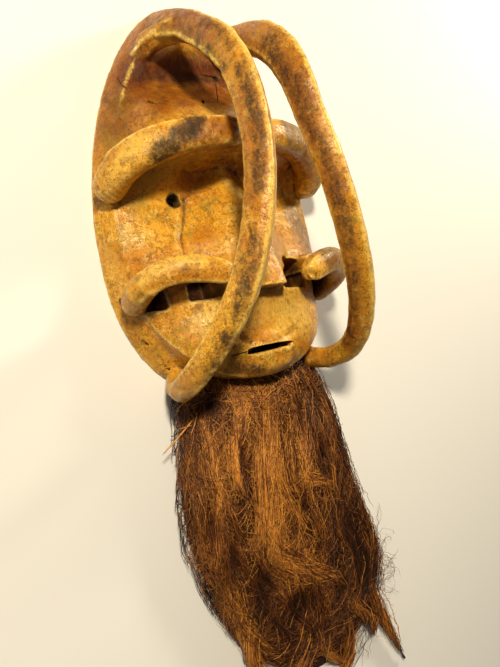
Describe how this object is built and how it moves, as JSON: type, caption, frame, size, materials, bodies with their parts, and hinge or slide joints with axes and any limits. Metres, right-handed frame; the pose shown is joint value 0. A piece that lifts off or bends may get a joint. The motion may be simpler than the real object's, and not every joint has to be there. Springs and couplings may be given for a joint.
{
  "type": "horned mask",
  "caption": "Carved wooden face mask with two long horns that arch from the forehead to the jaw, raised brow and cheek arcs, a wedge nose and a long plant-fibre beard.",
  "frame": {"origin": "middle of the flat back face of the rim, at the top of the forehead; the rim's back lies on z = 0", "axes": "+Z is the way the face looks, up as the mask lies on its back; +Y from the chin to the forehead; +X to the right for someone who looks at the face"},
  "size_m": [0.2578, 0.6695, 0.1486],
  "materials": {
    "carved_wood": "worn ochre paint over wood, semi-gloss, with dark brown patches and worn pale ridges",
    "plant_fibre": "matted dark reddish-brown plant fibre with golden-brown strands"
  },
  "bodies": {
    "root": {"mask_carving": "carved_wood", "fibre_beard": "plant_fibre"}
  },
  "joints": []
}
